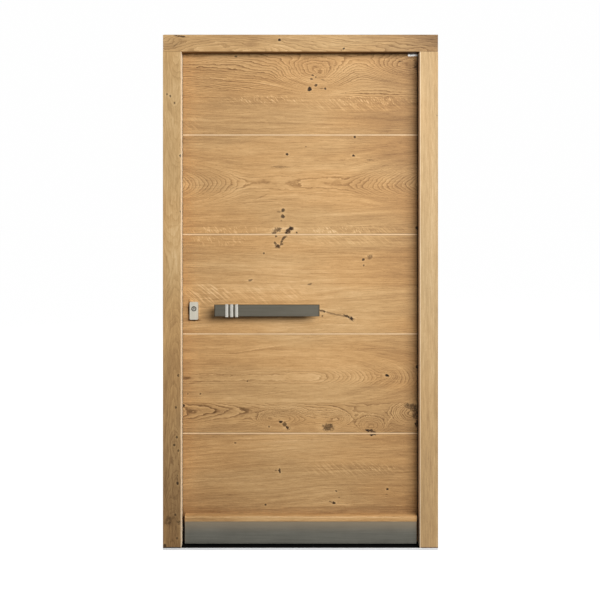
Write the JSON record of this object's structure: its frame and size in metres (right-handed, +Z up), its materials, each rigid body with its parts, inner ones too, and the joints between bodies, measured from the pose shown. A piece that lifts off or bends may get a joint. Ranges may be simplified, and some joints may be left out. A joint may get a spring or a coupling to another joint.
{
  "type": "wooden front door",
  "caption": "Oak entrance door of wide horizontal boards parted by pale inlaid lines, hinged in an oak frame, with a flat steel pull bar, cylinder lock, weather bar and kick plate.",
  "frame": {"origin": "middle of the frame's width and depth, on the flat underside of the base rail", "axes": "+X to the right seen from outside, +Y into the building, +Z up"},
  "size_m": [1.18, 0.207, 2.21],
  "materials": {
    "frame_oak": "oiled oak, matt",
    "leaf_oak": "oiled knotty oak, matt",
    "inlay_wood": "pale wood, matt",
    "rail_aluminium": "mill finish",
    "threshold_black": "matt black",
    "seal_rubber": "black gasket",
    "dark_steel": "satin brushed",
    "pale_steel": "satin brushed"
  },
  "bodies": {
    "frame": {"base_rail": "rail_aluminium", "threshold": "threshold_black", "left_jamb": "frame_oak", "right_jamb": "frame_oak", "frame_head": "frame_oak", "left_seal": "seal_rubber", "right_seal": "seal_rubber", "head_seal": "seal_rubber", "strike_plate": "pale_steel", "top_hinge_frame_half": "pale_steel", "middle_hinge_frame_half": "pale_steel", "bottom_hinge_frame_half": "pale_steel", "hinge_pins": "pale_steel"},
    "leaf": {"leaf_core": "leaf_oak", "outer_board_1": "leaf_oak", "outer_board_2": "leaf_oak", "outer_board_3": "leaf_oak", "outer_board_4": "leaf_oak", "outer_board_5": "leaf_oak", "outer_inlays": "inlay_wood", "inner_board_1": "leaf_oak", "inner_board_2": "leaf_oak", "inner_board_3": "leaf_oak", "inner_board_4": "leaf_oak", "inner_board_5": "leaf_oak", "inner_inlays": "inlay_wood", "weather_bar": "leaf_oak", "kick_backing": "leaf_oak", "kick_plate": "dark_steel", "pull_bar": "dark_steel", "pull_bar_bands": "pale_steel", "pull_bar_posts": "dark_steel", "lock_plate": "pale_steel", "lock_cylinder": "dark_steel", "label_plate": "pale_steel", "lock_forend": "pale_steel", "lock_bolts": "dark_steel", "inner_lever_rose": "pale_steel", "inner_lever": "pale_steel", "inner_lock_rose": "pale_steel", "top_hinge_leaf_half": "pale_steel", "middle_hinge_leaf_half": "pale_steel", "bottom_hinge_leaf_half": "pale_steel"},
    "key_plug": {"key_plug": "pale_steel"}
  },
  "joints": [
    {"name": "leaf_swing", "type": "hinge", "parent": "frame", "child": "leaf", "pos_m": [0.561, 0.073, 1.09], "axis": [0, 0, -1], "range_deg": [0, 110]},
    {"name": "key_turn", "type": "hinge", "parent": "leaf", "child": "key_plug", "pos_m": [-0.461, -0.01, 1.03], "axis": [0, 1, 0], "continuous": true}
  ]
}
